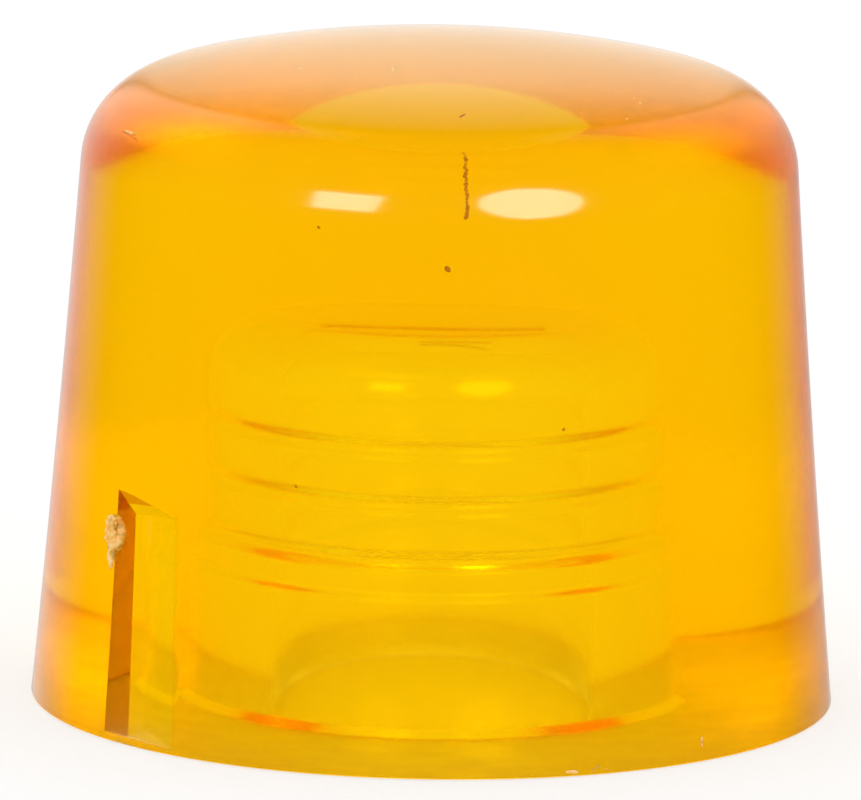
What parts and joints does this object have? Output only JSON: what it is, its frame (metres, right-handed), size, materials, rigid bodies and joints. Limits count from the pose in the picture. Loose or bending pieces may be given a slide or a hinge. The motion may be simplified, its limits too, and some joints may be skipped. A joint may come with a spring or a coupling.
{
  "type": "replaceable striking tip",
  "caption": "Clear amber plastic striking tip for a soft-face hammer: a tapered round block with a domed end, a ribbed blind socket in its seat and a gate notch in its wall.",
  "frame": {"origin": "centre of the flat seat that the tip stands on", "axes": "+Z along the tip's axis from the seat to the striking dome; -Y is the front; the gate notch is in the wall to the left of the front"},
  "size_m": [0.03, 0.03, 0.0248],
  "materials": {
    "amber_plastic": "clear amber moulded plastic, glossy, tinted through its whole thickness"
  },
  "bodies": {
    "root": {"striking_tip": "amber_plastic"}
  },
  "joints": []
}
